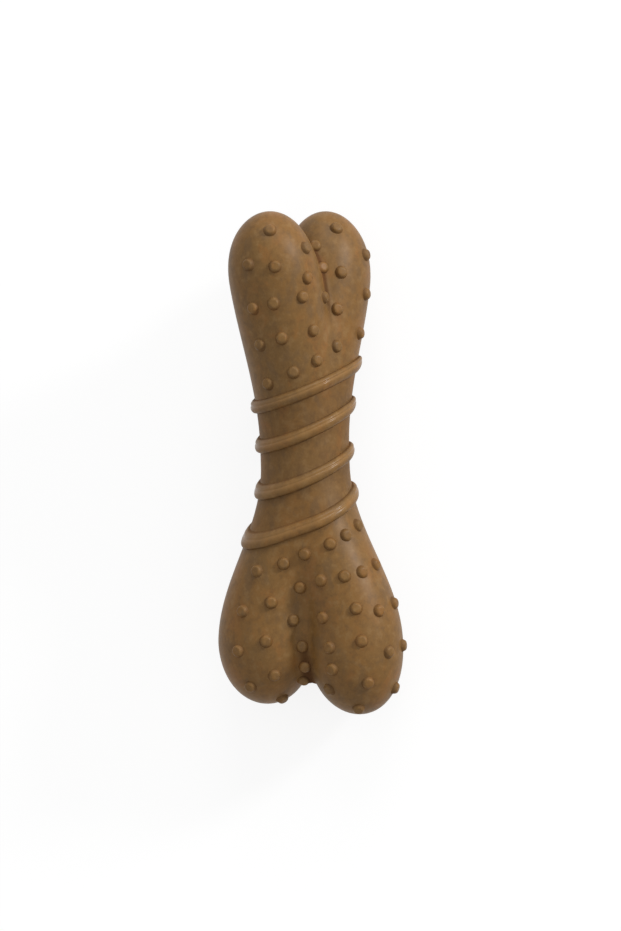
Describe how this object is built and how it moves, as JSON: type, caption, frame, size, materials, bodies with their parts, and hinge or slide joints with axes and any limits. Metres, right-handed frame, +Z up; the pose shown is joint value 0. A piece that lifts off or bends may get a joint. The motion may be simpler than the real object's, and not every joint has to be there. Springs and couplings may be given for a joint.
{
  "type": "dog chew bone",
  "caption": "Bone-shaped dog chew toy in mottled brown moulded nylon, with slanted gum ribs round the shaft and round nubs on the knuckles",
  "frame": {"origin": "on the floor under the middle of the bone", "axes": "+X along the bone from the big end to the small end, +Z up from the floor"},
  "size_m": [0.1514, 0.0577, 0.0479],
  "materials": {
    "chew_nylon": "semi-gloss, mottled"
  },
  "bodies": {
    "root": {"shaft": "chew_nylon", "small_left_knuckle": "chew_nylon", "small_right_knuckle": "chew_nylon", "big_left_knuckle": "chew_nylon", "big_right_knuckle": "chew_nylon", "rib_1": "chew_nylon", "rib_2": "chew_nylon", "rib_3": "chew_nylon", "rib_4": "chew_nylon"}
  },
  "joints": []
}
